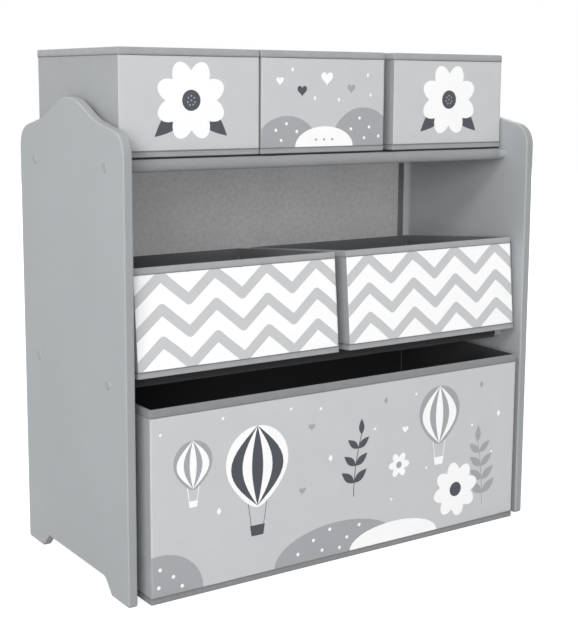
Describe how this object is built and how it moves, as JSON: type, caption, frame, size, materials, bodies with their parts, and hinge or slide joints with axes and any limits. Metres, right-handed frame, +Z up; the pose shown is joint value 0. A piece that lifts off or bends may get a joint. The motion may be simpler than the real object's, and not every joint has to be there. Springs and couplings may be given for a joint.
{
  "type": "toy storage organizer",
  "caption": "Child's toy organizer: two gabled side panels joined by cross tubes, fabric shelf slings and a back panel, with small lift-off, medium tilted and large pull-out fabric bins.",
  "frame": {"origin": "on the floor, midway between the side panels and at the middle of their depth", "axes": "+X to the organizer's right as seen from the front, +Y to its back, +Z up"},
  "size_m": [0.6426, 0.307, 0.6604],
  "materials": {
    "painted_board": "satin grey paint",
    "tube": "satin powder coat",
    "tube_insert": "moulded",
    "bolt": "zinc plated",
    "bolt_cap": "moulded",
    "shelf_fabric": "non-woven",
    "back_fabric": "mottled non-woven",
    "binding_tape": "woven tape",
    "bin_fabric": "non-woven over board",
    "stiffening_board": "covered hardboard",
    "printed_fabric": "printed"
  },
  "bodies": {
    "organizer_frame": {"back_left_binding": "binding_tape", "back_panel": "back_fabric", "back_right_binding": "binding_tape", "left_bolt_caps": "bolt_cap", "left_panel_bolts": "bolt", "left_side_panel": "painted_board", "lower_front_tube": "tube", "lower_rear_tube": "tube", "middle_shelf_sling": "shelf_fabric", "right_bolt_caps": "bolt_cap", "right_panel_bolts": "bolt", "right_side_panel": "painted_board", "top_shelf_sling": "shelf_fabric", "tube_end_inserts": "tube_insert", "upper_front_tube": "tube", "upper_rear_tube": "tube"},
    "small_left_bin": {"small_left_shell": "bin_fabric", "small_left_front_print": "printed_fabric", "small_left_top_binding": "binding_tape", "small_left_bottom_binding": "binding_tape"},
    "small_left_board": {"small_left_base_board": "stiffening_board"},
    "small_middle_bin": {"small_middle_shell": "bin_fabric", "small_middle_front_print": "printed_fabric", "small_middle_top_binding": "binding_tape", "small_middle_bottom_binding": "binding_tape"},
    "small_middle_board": {"small_middle_base_board": "stiffening_board"},
    "small_right_bin": {"small_right_shell": "bin_fabric", "small_right_front_print": "printed_fabric", "small_right_top_binding": "binding_tape", "small_right_bottom_binding": "binding_tape"},
    "small_right_board": {"small_right_base_board": "stiffening_board"},
    "medium_left_bin": {"medium_left_shell": "bin_fabric", "medium_left_front_print": "printed_fabric", "medium_left_top_binding": "binding_tape", "medium_left_bottom_binding": "binding_tape"},
    "medium_left_board": {"medium_left_base_board": "stiffening_board"},
    "medium_right_bin": {"medium_right_shell": "bin_fabric", "medium_right_front_print": "printed_fabric", "medium_right_top_binding": "binding_tape", "medium_right_bottom_binding": "binding_tape"},
    "medium_right_board": {"medium_right_base_board": "stiffening_board"},
    "large_bin": {"large_shell": "bin_fabric", "large_front_print": "printed_fabric", "large_top_binding": "binding_tape", "large_bottom_binding": "binding_tape"},
    "large_board": {"large_base_board": "stiffening_board"}
  },
  "joints": [
    {"name": "small_left_bin_lift", "type": "slide", "parent": "organizer_frame", "child": "small_left_bin", "axis": [0, 0, 1], "range_m": [0, 0.15]},
    {"name": "small_left_board_lift", "type": "slide", "parent": "small_left_bin", "child": "small_left_board", "axis": [0, 0, 1], "range_m": [0, 0.15]},
    {"name": "small_middle_bin_lift", "type": "slide", "parent": "organizer_frame", "child": "small_middle_bin", "axis": [0, 0, 1], "range_m": [0, 0.15]},
    {"name": "small_middle_board_lift", "type": "slide", "parent": "small_middle_bin", "child": "small_middle_board", "axis": [0, 0, 1], "range_m": [0, 0.15]},
    {"name": "small_right_bin_lift", "type": "slide", "parent": "organizer_frame", "child": "small_right_bin", "axis": [0, 0, 1], "range_m": [0, 0.15]},
    {"name": "small_right_board_lift", "type": "slide", "parent": "small_right_bin", "child": "small_right_board", "axis": [0, 0, 1], "range_m": [0, 0.15]},
    {"name": "medium_left_bin_pull", "type": "slide", "parent": "organizer_frame", "child": "medium_left_bin", "axis": [0, -0.9959, 0.0906], "range_m": [0, 0.25]},
    {"name": "medium_left_board_lift", "type": "slide", "parent": "medium_left_bin", "child": "medium_left_board", "axis": [0, 0.0906, 0.9959], "range_m": [0, 0.15]},
    {"name": "medium_right_bin_pull", "type": "slide", "parent": "organizer_frame", "child": "medium_right_bin", "axis": [0, -0.9959, 0.0906], "range_m": [0, 0.25]},
    {"name": "medium_right_board_lift", "type": "slide", "parent": "medium_right_bin", "child": "medium_right_board", "axis": [0, 0.0906, 0.9959], "range_m": [0, 0.15]},
    {"name": "large_bin_pull", "type": "slide", "parent": "organizer_frame", "child": "large_bin", "axis": [0, -1, 0], "range_m": [0, 0.27]},
    {"name": "large_board_lift", "type": "slide", "parent": "large_bin", "child": "large_board", "axis": [0, 0, 1], "range_m": [0, 0.22]}
  ]
}
